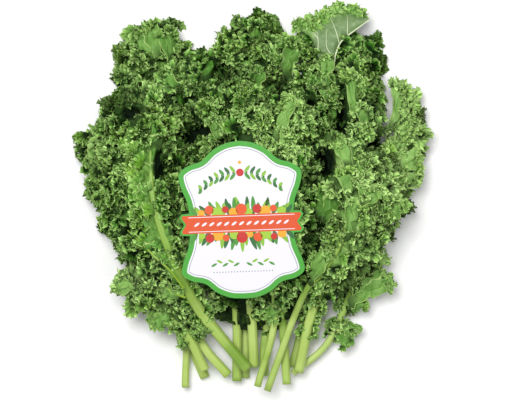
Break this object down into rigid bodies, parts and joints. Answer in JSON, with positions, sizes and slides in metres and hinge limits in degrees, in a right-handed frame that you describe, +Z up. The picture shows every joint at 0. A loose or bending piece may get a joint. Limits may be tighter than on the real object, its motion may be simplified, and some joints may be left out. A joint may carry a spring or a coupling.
{
  "type": "kale bunch",
  "caption": "Bunch of curly kale lying flat: loose stalked leaves with ruffled margins fanned over each other, with a plain printed card on top.",
  "frame": {"origin": "on the table, under the middle of the bunch's bounding box", "axes": "+Z up from the table, +Y from the cut stalks towards the leaf tips, +X to the right seen from above"},
  "size_m": [0.3112, 0.349, 0.0884],
  "materials": {
    "leaf": null,
    "card": "coated white card, printed"
  },
  "bodies": {
    "root": {"kale_leaf_top_left": "leaf", "kale_leaf_top_middle": "leaf", "kale_leaf_upper_right": "leaf", "kale_leaf_left_outer": "leaf", "kale_leaf_middle_left": "leaf", "kale_leaf_turned_tip": "leaf", "kale_leaf_far_right": "leaf", "kale_leaf_upper_left": "leaf", "kale_leaf_centre_left": "leaf", "kale_leaf_centre_right": "leaf", "kale_leaf_right_middle": "leaf", "kale_leaf_left_front": "leaf", "kale_leaf_centre_front": "leaf", "kale_leaf_right_front": "leaf", "kale_leaf_lower_left": "leaf", "label_card": "card"}
  },
  "joints": []
}
